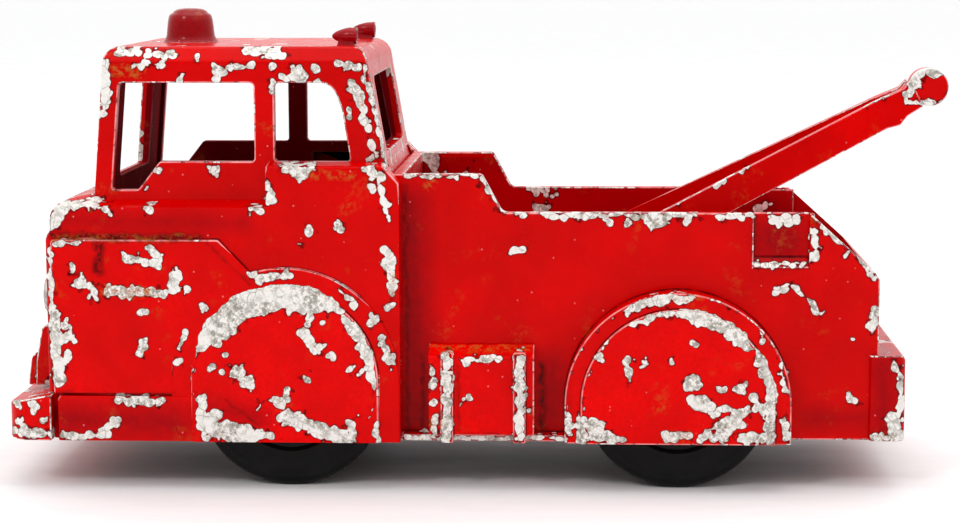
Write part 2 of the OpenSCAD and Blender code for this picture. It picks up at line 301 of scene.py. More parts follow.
    def surface(
        self, colour: Input, roughness: Input, normal: Input, metallic: Input = 0.0, **constants: float
    ) -> bpy.types.Material:
        """Feeds the shader.

        Args:
            colour: Base colour.
            roughness: Roughness.
            normal: Bumped normal.
            metallic: Share of metal.
            **constants: Other inputs, set on the shader itself.

        Returns:
            The finished material.
        """
        self.feed(self.shader.inputs["Base Color"], colour)
        self.feed(self.shader.inputs["Roughness"], roughness)
        self.feed(self.shader.inputs["Normal"], normal)
        self.feed(self.shader.inputs["Metallic"], metallic)
        for name, value in constants.items():
            self.shader.inputs[name.replace("_", " ")].default_value = value
        return self.material


# ---------------------------------------------------------------- wear marks


@dataclass(frozen=True)
class Spot:
    """A round mark on the side."""

    x: float
    z: float
    r: float

    def field(self, graph: NodeGraph, at: Socket) -> Socket:
        """Gives how many millimetres inside the mark a point on the side lies."""
        return graph.math("SUBTRACT", self.r, graph.vector("DISTANCE", at, (self.x, 0, self.z)))


@dataclass(frozen=True)
class Streak:
    """A long mark between two points on the side."""

    x0: float
    z0: float
    x1: float
    z1: float
    r: float

    def field(self, graph: NodeGraph, at: Socket) -> Socket:
        """Gives how far inside the mark a point lies.

        Args:
            graph: The material.
            at: The point on the side.

        Returns:
            Millimetres inside its outline.
        """
        run = Vector((self.x1 - self.x0, 0, self.z1 - self.z0))
        from_start = graph.vector("SUBTRACT", at, (self.x0, 0, self.z0))
        share = graph.vector("DOT_PRODUCT", from_start, tuple(run / run.length_squared))
        nearest = graph.vector("SCALE", tuple(run), graph.math("MULTIPLY", share, 1.0, clamp=True))
        return graph.math("SUBTRACT", self.r, graph.vector("DISTANCE", from_start, nearest))


@dataclass(frozen=True)
class Crescent:
    """A worn band inside a round edge, deepest in its middle. Angles are up from the back."""

    x: float
    z: float
    radius: float
    start: float
    end: float
    depth: float

    def field(self, graph: NodeGraph, at: Socket) -> Socket:
        """Gives how far inside the mark a point lies.

        Args:
            graph: The material.
            at: The point on the side.

        Returns:
            Millimetres inside its outline.
        """
        middle = math.radians((self.start + self.end) / 2)
        edge = math.cos(math.radians((self.end - self.start) / 2))
        spoke = graph.vector("SUBTRACT", at, (self.x, 0, self.z))
        heading = (math.cos(middle), 0, math.sin(middle))
        along = graph.vector("DOT_PRODUCT", graph.vector("NORMALIZE", spoke), heading)
        depth = graph.ramp(along, edge, edge + (1 - edge) * 0.6, -0.2, self.depth)
        inset = graph.math("SUBTRACT", self.radius, graph.vector("LENGTH", spoke))
        inset = graph.math("MAXIMUM", inset, graph.math("MULTIPLY", inset, -4.0))
        return graph.math("SUBTRACT", depth, inset)


Mark = Spot | Streak | Crescent
OUTSIDE = -6.0  # millimetres inside a mark where there is none
FAR = 9.0  # millimetres that push a point out of every mark
NO_SIDE = -40.0  # a side that the truck never reaches, where all wear falls by chance
TINY = 1e-8  # ties each mark to the one before it, so that a long chain is worked out in turn


@dataclass(frozen=True)
class Hollow:
    """The inside of a casting, darkened with painted shade. Its ends slope with height."""

    half_y: float = 0.0
    top: float = 0.0
    base: float = 0.0
    front: float = 0.0
    front_slope: float = 0.0
    back: float = 0.0
    back_slope: float = 0.0
    # strength of the painted shade inside
    depth: float = 0.0

    def share(self, graph: NodeGraph) -> Socket | float:
        """Gives how much painted shade lies on the inside.

        Args:
            graph: The material.

        Returns:
            Share of painted shade, 0 where the piece has no inside.
        """
        if not self.depth:
            return 0.0
        x = graph.part(graph.at, "X")
        y = graph.math("ABSOLUTE", graph.part(graph.at, "Y"))
        z = graph.part(graph.at, "Z")
        up = graph.math("SUBTRACT", z, self.base)
        from_front = graph.math("SUBTRACT", x, graph.math("MULTIPLY_ADD", up, self.front_slope, self.front))
        from_back = graph.math("SUBTRACT", graph.math("MULTIPLY_ADD", up, self.back_slope, self.back), x)
        ends = graph.math("MINIMUM", from_front, from_back)
        levels = graph.math("MINIMUM", up, graph.math("SUBTRACT", self.top, z))
        sides = graph.math("MINIMUM", graph.math("SUBTRACT", self.half_y, y), levels)
        return graph.ramp(graph.math("MINIMUM", ends, sides), -0.05, 0.05, 0.0, self.depth)


@dataclass(frozen=True)
class WearMap:
    """Where one piece has lost paint, rusted or gathered dirt, and where painted shade darkens it.

    The marks lie on the left side, outside near_y. Elsewhere the wear falls by chance.
    """

    near_y: float
    chips: tuple[Mark, ...] = ()
    rust: tuple[Mark, ...] = ()
    dirt: tuple[Mark, ...] = ()
    # painted shade: broad soft dark patches
    shade_marks: tuple[Mark, ...] = ()
    hollow: Hollow = Hollow()
    loose: float = 0.45
    edges: float = 0.5

    def union(self, graph: NodeGraph, at: Socket, marks: Iterable[Mark]) -> Socket | float:
        """Joins marks into one field.

        Args:
            graph: The material.
            at: The point on the side.
            marks: The marks.

        Returns:
            Millimetres inside the nearest mark, or OUTSIDE where there is none.
        """
        joined: Socket | float = OUTSIDE
        for mark in marks:
            joined = graph.math("MAXIMUM", joined, mark.field(graph, at))
            at = graph.vector("MULTIPLY_ADD", joined, (TINY, TINY, TINY), at)
        return joined


# ---------------------------------------------------------------- finishes


@dataclass(frozen=True)
class RedEnamel:
    """Glossy red paint on cast metal, chipped down to the bright casting, with painted shade and a painted
    edge highlight in its colour. Lengths are millimetres.
    """

    wear: WearMap
    light: Colour = (0.86, 0.0, 0.0)
    deep: Colour = (0.63, 0.0, 0.0)
    shaded: Colour = (0.38, 0.0, 0.0)
    metal: Colour = (0.92, 0.89, 0.85)
    dull: Colour = (0.27, 0.25, 0.2)
    # pale pink on the rounded edges: thin rubbed paint, and a painted highlight
    rubbed_highlight: Colour = (1.0, 0.36, 0.36)
    rust: Colour = (0.46, 0.13, 0.02)
    # dark of the dirt and of the painted shade round the chips and in the inner corners
    grime_and_shade: Colour = (0.035, 0.0, 0.001)
    # dark red of the painted shade under the shade marks and inside the castings
    inside: Colour = (0.13, 0.0, 0.004)
    lobe: float = 0.95
    scallop: float = 0.9
    bend: float = 0.45
    wander: float = 1.1
    # where the painted shade round a chip runs, in millimetres inside it
    rim: tuple[float, float] = (-0.24, -0.03)
    blotch_size: float = 9.0
    edge_size: float = 3.0
    film_depth: float = 0.05
    bare_metallic: float = 0.25
    shine: float = 0.06
    # painted shade: share of the shaded red on faces set back from the outermost ones
    recess_shade: float = 0.48
    proud_y: tuple[float, float] = (18.25, 18.95)

    def make(self, name: str) -> bpy.types.Material:
        """Builds the material.

        Args:
            name: The material's name.

        Returns:
            The material.
        """
        g = NodeGraph(name)
        flat = g.vector("MULTIPLY", g.at, (1, 0, 1))
        wander = g.vector("SUBTRACT", g.noise(g.at, 1.6, 2.0, 0.6, colour=True), (0.5, 0.5, 0.5))
        bent = g.vector("MULTIPLY", g.vector("MULTIPLY_ADD", wander, (self.wander,) * 3, flat), (1, 0, 1))
        near = g.ramp(g.part(g.at, "Y"), self.wear.near_y, self.wear.near_y + 0.3, 1.0, 0.0)
        chip = self.chip_field(g, bent, near)
        bare = g.ramp(chip, -0.02, 0.03)
        # painted shade: a dark line round each chip, along the paint's step
        rim = g.math("SUBTRACT", g.ramp(chip, *self.rim), bare)
        rusty = self.rust_share(g, bent, near)
        dirty = self.dirt_share(g, bent, near)
        paint = self.paint_colour(g, rim, dirty)
        bare_colour = g.blend(rusty, self.metal_colour(g), self.rust)
        colour = g.blend(bare, g.blend(g.math("MULTIPLY", rusty, 0.8), paint, self.rust), bare_colour)
        gloss = g.ramp(g.noise(g.at, 2.5, 4.0, 0.6), 0.3, 0.7, 0.16, 0.3)
        rough_chip = g.ramp(g.noise(g.at, 0.4, 2.0), 0.3, 0.7, 0.42, 0.7)
        painted = g.math("SUBTRACT", 1.0, bare)
        rough = g.math("MULTIPLY_ADD", bare, rough_chip, g.math("MULTIPLY", painted, gloss))
        rough = g.math("MAXIMUM", rough, g.ramp(self.wear.hollow.share(g), 0.4, 0.8, 0.0, 0.95))
        waves = g.math("MULTIPLY", g.noise(g.at, 5.0, 1.0), 1.6)
        peel = g.math("MULTIPLY_ADD", g.noise(g.at, 1.4, 2.0), 0.7, waves)
        grit = g.math("MULTIPLY", g.noise(g.at, 0.22, 3.0, 0.7), bare)
        film = g.ramp(chip, -0.08, 0.05, 1.4, 0.0)
        height = g.math("MULTIPLY_ADD", grit, 0.7, g.math("MULTIPLY_ADD", peel, 0.6, film))
        grain = g.bump(height, self.film_depth, 0.9)
        metallic = g.math("MULTIPLY", bare, self.bare_metallic)
        return g.surface(colour, rough, grain, metallic, Specular_IOR_Level=self.shine)

    def chip_field(self, g: NodeGraph, at: Socket, near: Socket) -> Socket:
        """Joins placed chips, chance chips and worn edges, with scalloped outlines.

        Args:
            g: The material.
            at: The wandering point on the side.
            near: 1 on the left side, 0 elsewhere.

        Returns:
            Millimetres inside bare metal.
        """
        placed = self.wear.union(g, at, self.wear.chips)
        away = g.math("MULTIPLY", g.math("SUBTRACT", near, 1.0), FAR)
        placed = g.math("ADD", placed, g.math("ADD", away, 0.05))
        blotch = g.math("SUBTRACT", g.noise(g.at, 5.5, 2.0, 0.6), 0.80 - 0.3 * self.wear.loose)
        blotch = g.math("MULTIPLY", blotch, self.blotch_size)
        chance = g.math("SUBTRACT", blotch, g.math("MULTIPLY", near, FAR))
        worn = g.math("SUBTRACT", g.noise(g.at, 2.8, 3.0, 0.65), 0.80 - 0.4 * self.wear.edges)
        worn = g.math("ADD", worn, g.math("MULTIPLY_ADD", near, -0.07, 0.07))
        flat = g.math("MULTIPLY", g.math("SUBTRACT", 1.0, g.edge()), FAR)
        edge = g.math("SUBTRACT", g.math("MULTIPLY", worn, self.edge_size), flat)
        sheltered = g.ramp(self.wear.hollow.share(g), 0.4, 0.8, 0.0, -4.0)
        joined = g.math("ADD", sheltered, g.math("MAXIMUM", placed, g.math("MAXIMUM", chance, edge)))
        scallop = g.math("SUBTRACT", 0.5, g.cells(self.loosened(g), self.lobe))
        return g.math("MULTIPLY_ADD", scallop, self.scallop, joined)

    def loosened(self, g: NodeGraph) -> Socket:
        """Bends space a little, so that the scallops of the chips aren't regular.

        Args:
            g: The material.

        Returns:
            The bent point.
        """
        bend = g.noise(g.at, 1.1, 1.0, colour=True)
        return g.vector("MULTIPLY_ADD", bend, (self.bend,) * 3, g.at)

    def rust_share(self, g: NodeGraph, at: Socket, near: Socket) -> Socket:
        """Gives where rust shows.

        Args:
            g: The material.
            at: The wandering point on the side.
            near: 1 on the left side, 0 elsewhere.

        Returns:
            Share of rust.
        """
        grit = g.ramp(g.noise(g.at, 0.7, 4.0, 0.75), 0.47, 0.62)
        placed = g.ramp(self.wear.union(g, at, self.wear.rust), -0.25, 0.3)
        few = g.ramp(g.noise(g.at, 4.0, 3.0, 0.6), 0.6, 0.72, 0.0, 0.45)
        return g.math("MULTIPLY", grit, g.math("MAXIMUM", g.math("MULTIPLY", placed, near), few))

    def dirt_share(self, g: NodeGraph, at: Socket, near: Socket) -> Socket:
        """Gives where dirt lies.

        Args:
            g: The material.
            at: The wandering point on the side.
            near: 1 on the left side, 0 elsewhere.

        Returns:
            Share of dirt.
        """
        patchy = g.ramp(g.noise(g.at, 0.8, 4.0, 0.7), 0.36, 0.56, 0.3, 1.0)
        placed = g.ramp(self.wear.union(g, at, self.wear.dirt), -0.35, 0.3)
        return g.math("MULTIPLY", patchy, g.math("MULTIPLY", placed, near))

    def paint_colour(self, g: NodeGraph, rim: Socket, dirty: Socket) -> Socket:
        """Mixes the paint's reds with painted shade (also round the chips and in the inner corners), a
        painted highlight on the edges, dirt and pale flecks.

        Args:
            g: The material.
            rim: Share of painted shade round the chips.
            dirty: Share of dirt.

        Returns:
            The paint's colour.
        """
        tone = g.ramp(g.noise(g.at, 9.0, 3.0, 0.6), 0.35, 0.7)
        red = g.blend(tone, self.light, self.deep)
        across = g.math("ABSOLUTE", g.part(g.at, "Y"))
        cloudy = g.ramp(g.noise(g.at, 6.0, 3.0), 0.35, 0.65, 0.6, 1.0)
        # painted shade on the recessed faces, patchy
        recess_shade = g.math("MULTIPLY", g.ramp(across, *self.proud_y, self.recess_shade, 0.0), cloudy)
        red = g.blend(recess_shade, red, self.shaded)
        mottle = g.ramp(g.noise(g.at, 0.5, 3.0, 0.7), 0.42, 0.66, 0.0, 0.55)
        red = g.blend(mottle, red, self.deep)
        # rounded edges paler: thin rubbed paint, and a painted highlight along them
        rub = g.math("MULTIPLY", g.edge(), g.ramp(g.noise(g.at, 2.0, 3.0, 0.6), 0.35, 0.6, 0.3, 1.0))
        red = g.blend(rub, red, self.rubbed_highlight)
        side = g.vector("MULTIPLY", g.at, (1, 0, 1))
        # painted shade under the shade marks, patchy
        shade_marks = g.ramp(self.wear.union(g, side, self.wear.shade_marks), -2.0, 1.0, 0.0, 0.6)
        patchy_shade = g.ramp(g.noise(g.at, 1.2, 4.0, 0.7), 0.3, 0.6, 0.7, 1.0)
        red = g.blend(g.math("MULTIPLY", shade_marks, patchy_shade), red, self.inside)
        # painted shade inside the casting
        red = g.blend(self.wear.hollow.share(g), red, self.inside)
        # darker in every inner corner: part dirt, part painted shade
        corner = g.math("MULTIPLY", g.edge(-1), g.ramp(g.noise(g.at, 1.5, 3.0, 0.6), 0.3, 0.6, 0.35, 0.95))
        dirty = g.math("MAXIMUM", dirty, corner)
        picked = g.ramp(g.part(g.cells(g.at, 0.8, colour=True), "X"), 0.93, 0.94)
        fleck = g.math("MULTIPLY", picked, g.ramp(g.cells(g.at, 0.8), 0.1, 0.16, 1.0, 0.0))
        red = g.blend(g.math("MULTIPLY", fleck, 0.6), red, (0.8, 0.25, 0.25))
        # dirt and painted shade share one dark colour
        dark = g.math("MAXIMUM", g.math("MULTIPLY", rim, 0.92), g.math("MULTIPLY", dirty, 0.9))
        return g.blend(dark, red, self.grime_and_shade)

    def metal_colour(self, g: NodeGraph) -> Socket:
        """Mixes bright and dull casting, with dark cracks between the lobes.

        Args:
            g: The material.

        Returns:
            The bare metal's colour.
        """
        dull = g.ramp(g.noise(g.at, 0.6, 4.0, 0.75), 0.44, 0.58, 0.0, 0.9)
        dull = g.math("MULTIPLY", dull, g.ramp(g.noise(g.at, 3.5, 2.0), 0.4, 0.57, 0.15, 1.0))
        crack = g.ramp(g.cells(self.loosened(g), self.lobe, "DISTANCE_TO_EDGE"), 0.02, 0.09, 0.6, 0.0)
        broken = g.math("MULTIPLY", crack, g.ramp(g.noise(g.at, 1.3, 2.0), 0.42, 0.56))
        return g.blend(g.math("MAXIMUM", dull, broken), self.metal, self.dull)


@dataclass(frozen=True)
class CastMetal:
    """Bare, worn casting with remains of red paint in its low places."""

    bright: Colour = (0.62, 0.61, 0.58)
    dull: Colour = (0.26, 0.25, 0.23)
    paint: Colour = (0.5, 0.0, 0.004)

    def make(self, name: str) -> bpy.types.Material:
        """Builds the material.

        Args:
            name: The material's name.

        Returns:
            The material.
        """
        g = NodeGraph(name)
        rub = g.ramp(g.noise(g.at, 1.2, 4.0, 0.65), 0.4, 0.62)
        left = g.ramp(g.noise(g.at, 1.7, 3.0, 0.6), 0.54, 0.57)
        left = g.math("MULTIPLY", left, g.math("SUBTRACT", 1.0, g.edge()))
        colour = g.blend(left, g.blend(rub, self.bright, self.dull), self.paint)
        rough = g.ramp(g.noise(g.at, 0.6, 3.0), 0.3, 0.7, 0.35, 0.6)
        normal = g.bump(g.noise(g.at, 0.3, 4.0, 0.7), 0.05, 0.8)
        metallic = g.math("MULTIPLY_ADD", left, -0.7, 0.7)
        return g.surface(colour, rough, normal, metallic)


@dataclass(frozen=True)
class BareSteel:
    """Drawn steel wire and pressed steel, spotted with rust."""

    bright: Colour = (0.5, 0.49, 0.47)
    dull: Colour = (0.2, 0.19, 0.18)
    rust: Colour = (0.2, 0.07, 0.02)

    def make(self, name: str) -> bpy.types.Material:
        """Builds the material.

        Args:
            name: The material's name.

        Returns:
            The material.
        """
        g = NodeGraph(name)
        drawn = g.noise(g.vector("MULTIPLY", g.at, (1, 0.12, 1)), 0.25, 3.0, 0.6)
        colour = g.blend(g.ramp(drawn, 0.35, 0.65), self.bright, self.dull)
        rusty = g.ramp(g.noise(g.at, 1.5, 5.0, 0.7), 0.52, 0.66)
        colour = g.blend(rusty, colour, self.rust)
        rough = g.math("MULTIPLY_ADD", rusty, 0.35, 0.32)
        return g.surface(colour, rough, g.bump(drawn, 0.02, 0.6), g.math("MULTIPLY_ADD", rusty, -0.8, 0.95))


@dataclass(frozen=True)
class PlateSteel:
    """Blackened pressed plate, scuffed grey along its edges."""

    black: Colour = (0.012, 0.012, 0.013)
    grey: Colour = (0.16, 0.155, 0.15)

    def make(self, name: str) -> bpy.types.Material:
        """Builds the material.

        Args:
            name: The material's name.

        Returns:
            The material.
        """
        g = NodeGraph(name)
        rolled = g.noise(g.vector("MULTIPLY", g.at, (0.15, 1, 1)), 0.5, 4.0, 0.6)
        worn = g.ramp(g.noise(g.at, 3.0, 5.0, 0.7), 0.6, 0.72, 0.0, 0.6)
        scuff = g.math("MAXIMUM", worn, g.math("MULTIPLY", g.edge(), 0.7))
        colour = g.blend(g.math("MULTIPLY", scuff, g.ramp(rolled, 0.35, 0.6)), self.black, self.grey)
        rough = g.ramp(rolled, 0.3, 0.7, 0.35, 0.6)
        return g.surface(colour, rough, g.bump(rolled, 0.03, 0.6), 0.6)


@dataclass(frozen=True)
class BlackMoulding:
    """Moulded black rubber or plastic with a dusty bloom."""

    black: Colour = (0.004, 0.004, 0.004)
    dust: Colour = (0.022, 0.021, 0.02)
    shine: float = 0.45
    bloom: float = 0.5

    def make(self, name: str) -> bpy.types.Material:
        """Builds the material.

        Args:
            name: The material's name.

        Returns:
            The material.
        """
        g = NodeGraph(name)
        cloud = g.ramp(g.noise(g.at, 2.2, 5.0, 0.65), 0.45, 0.75, 0.0, self.bloom)
        scuffed = g.math("MULTIPLY", g.edge(), g.ramp(g.noise(g.at, 0.9, 3.0), 0.4, 0.6, 0.0, self.bloom))
        colour = g.blend(g.math("MAXIMUM", cloud, scuffed), self.black, self.dust)
        rough = g.ramp(cloud, 0.0, 0.5, self.shine, self.shine + 0.3)
        skin = g.math("ADD", g.noise(g.at, 0.25, 3.0, 0.6), g.noise(g.at, 1.6, 2.0))
        return g.surface(colour, rough, g.bump(skin, 0.03, 0.7), Specular_IOR_Level=0.12)


@dataclass(frozen=True)
class PalePaper:
    """Plain white table covering with a faint tooth."""

    white: Colour = (0.9, 0.9, 0.9)
    shade: Colour = (0.84, 0.84, 0.845)

    def make(self, name: str) -> bpy.types.Material:
        """Builds the material.

        Args:
            name: The material's name.

        Returns:
            The material.
        """
        g = NodeGraph(name)
        streaks = g.noise(g.vector("MULTIPLY", g.at, (0.35, 1, 1)), 5.0, 6.0, 0.7)
        colour = g.blend(g.ramp(streaks, 0.35, 0.7), self.white, self.shade)
        rough = g.ramp(streaks, 0.3, 0.7, 0.5, 0.7)
        return g.surface(colour, rough, g.bump(streaks, 0.05, 0.4), Specular_IOR_Level=0.2)


Finish = RedEnamel | CastMetal | BareSteel | PlateSteel | BlackMoulding | PalePaper


# ---------------------------------------------------------------- shaping

EDGE = "rounded_edge"
SOFT_ANGLE = math.radians(32)
MERGE = 0.002 * MM
ROOM = 2.3  # length that an edge beside a rounding needs, as a multiple of its width
STRAIGHT_ON = -0.85  # cosine past which such an edge only carries on the rounded one


def roomy(edge: bmesh.types.BMEdge, radius: float) -> bool:
    """Tells whether an edge can be rounded without running into its neighbours.

    Args:
        edge: The edge.
        radius: Width of the rounding in millimetres.

    Returns:
        True if every edge that branches off it is long enough.
    """
    for vert in edge.verts:
        away = (edge.other_vert(vert).co - vert.co).normalized()
        for other in vert.link_edges:
            if other is edge:
                continue
            branch = other.other_vert(vert).co - vert.co
            if branch.length < ROOM * radius * MM and branch.normalized().dot(away) > STRAIGHT_ON:
                return False
    return True


def round_edges(mesh: bmesh.types.BMesh, radius: float, segments: int = 2) -> None:
    """Rounds the sharp edges and marks them: 1 where wear rubs them and a painted highlight lies, -1 on the
    inner corners, which dirt and painted shade darken.

    Args:
        mesh: The mesh.
        radius: Width of the rounding in millimetres.
        segments: Steps across the rounding.
    """
    marked = mesh.faces.layers.float.new(EDGE)
    creased = [e for e in mesh.edges if e.is_manifold and e.calc_face_angle(0.0) > SOFT_ANGLE]
    sharp = [e for e in creased if roomy(e, radius)]
    made = bmesh.ops.bevel(
        mesh,
        geom=sharp,
        offset=radius * MM,
        offset_type="OFFSET",
        segments=segments,
        profile=0.5,
        affect="EDGES",
        clamp_overlap=False,
        material=-1,
    )
    mesh.normal_update()
    for face in made["faces"]:
        bend = sum(edge.calc_face_angle_signed(0.0) for edge in face.edges if edge.is_manifold)
        face[marked] = 1.0 if bend > 0 else -1.0


def cad_shape(node: str) -> bmesh.types.BMesh:
    """Copies a CAD node's mesh with its triangles merged into whole faces.

    Args:
        node: The node.

    Returns:
        A new mesh in the frame.
    """
    mesh = bmesh.new()
    mesh.from_mesh(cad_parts[node].data)
    for layer in list(mesh.loops.layers.uv):
        mesh.loops.layers.uv.remove(layer)
    bmesh.ops.remove_doubles(mesh, verts=mesh.verts, dist=MERGE)
    bmesh.ops.dissolve_limit(mesh, angle_limit=math.radians(0.6), verts=mesh.verts, edges=mesh.edges)
    return mesh


def turned(
    profile: Sequence[tuple[float, float]], centre: Vector, axis: Vector, steps: int = 72
) -> bmesh.types.BMesh:
    """Spins an outline about a line.

    Args:
        profile: Points of radius and distance along the axis, in millimetres.
        centre: Where distance 0 lies, in the frame.
        axis: Direction of the line.
        steps: Steps round it.

    Returns:
        A closed mesh in the frame.
    """
    turn = axis.normalized().to_track_quat("Z", "Y").to_matrix().to_4x4()
    mesh = bmesh.new()
    verts = [mesh.verts.new((r * MM, 0, d * MM)) for r, d in profile]
    edges = [mesh.edges.new(pair) for pair in zip(verts, verts[1:])]
    if profile[0][0] > 0:
        edges.append(mesh.edges.new((verts[-1], verts[0])))
    bmesh.ops.spin(
        mesh,
        geom=verts + edges,
        cent=(0, 0, 0),
        axis=(0, 0, 1),
        angle=math.tau,
        steps=steps,
        use_merge=True,
    )
    bmesh.ops.remove_doubles(mesh, verts=mesh.verts, dist=MERGE)
    bmesh.ops.recalc_face_normals(mesh, faces=mesh.faces)
    bmesh.ops.transform(mesh, matrix=Matrix.Translation(centre) @ turn, verts=mesh.verts)
    return mesh


def rod(node: str, radius: float, chamfer: float) -> bmesh.types.BMesh:
    """Makes a chamfered rod across the truck, as long as its CAD node.

    Args:
        node: The node.
        radius: Its radius in millimetres.
        chamfer: Width of the chamfer at both ends.

    Returns:
        A closed mesh in the frame.
    """
    low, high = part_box(node)
    half = (high.y - low.y) / 2 / MM
    inner = radius - chamfer
    shoulder = half - chamfer
    profile = ((0, -half), (inner, -half), (radius, -shoulder), (radius, shoulder), (inner, half), (0, half))
    return turned(profile, (low + high) / 2, Vector((0, 1, 0)), 32)


def roughen(
    mesh: bmesh.types.BMesh, amount: float, size: float, keep: Callable[[Vector], float] | None = None
) -> None:
    """Moves points a little by a smooth noise, as a hand-finished casting has.

    Args:
        mesh: The mesh.
        amount: Greatest move in millimetres.
        size: Size of the waves in millimetres.
        keep: Share of the move that a point takes.
    """
    mesh.normal_update()
    for vert in mesh.verts:
        share = 1.0 if keep is None else keep(vert.co)
        wave = noise.noise(vert.co / (size * MM))
        vert.co += vert.normal * wave * amount * MM * share


def join(meshes: Iterable[bmesh.types.BMesh]) -> bmesh.types.BMesh:
    """Puts several meshes into one.

    Args:
        meshes: The meshes, which are freed.

    Returns:
        The joined mesh.
    """
    whole = bmesh.new()
    for part in meshes:
        data = bpy.data.meshes.new("part")
        part.to_mesh(data)
        part.free()
        whole.from_mesh(data)
        bpy.data.meshes.remove(data)
    return whole


def reflected(mesh: bmesh.types.BMesh) -> bmesh.types.BMesh:
    """Copies a mesh to the other side of the truck.

    Args:
        mesh: The mesh, which is kept.

    Returns:
        Its mirror image, with its faces outwards.
    """
    other = mesh.copy()
    bmesh.ops.scale(other, vec=(1, -1, 1), verts=other.verts)
    bmesh.ops.reverse_faces(other, faces=other.faces)
    return other


def show(
    mesh: bmesh.types.BMesh, name: str, body: Body, finish: Finish, stands_for: str
) -> bpy.types.Object:
    """Turns a mesh into a finished piece that rides on its body.

    Args:
        mesh: The mesh, which is freed.
        name: The piece's name.
        body: What it rides on.
        finish: Its finish.
        stands_for: The CAD node it stands for.

    Returns:
        The piece.
    """
    marked = mesh.faces.layers.float.get(EDGE) or mesh.faces.layers.float.new(EDGE)
    for face in mesh.faces:
        face.smooth = True
    for edge in mesh.edges:
        edge.smooth = edge.is_manifold and edge.calc_face_angle(0.0) < SOFT_ANGLE
    count = sum(1 for face in mesh.faces if face[marked] > 0)
    data = bpy.data.meshes.new(name)
    mesh.to_mesh(data)
    mesh.free()
    piece = bpy.data.objects.new(name, data)
    bpy.context.scene.collection.objects.link(piece)
    data.materials.append(finish.make(name + "_finish"))
    even = piece.modifiers.new("even_shading", "WEIGHTED_NORMAL")
    even.keep_sharp = True
    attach(piece, body.value)
    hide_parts(stands_for)
    LOG.info("%s: %d faces, %d on rounded edges, rides on %s", name, len(data.polygons), count, body.value)
    return piece


# ---------------------------------------------------------------- cab


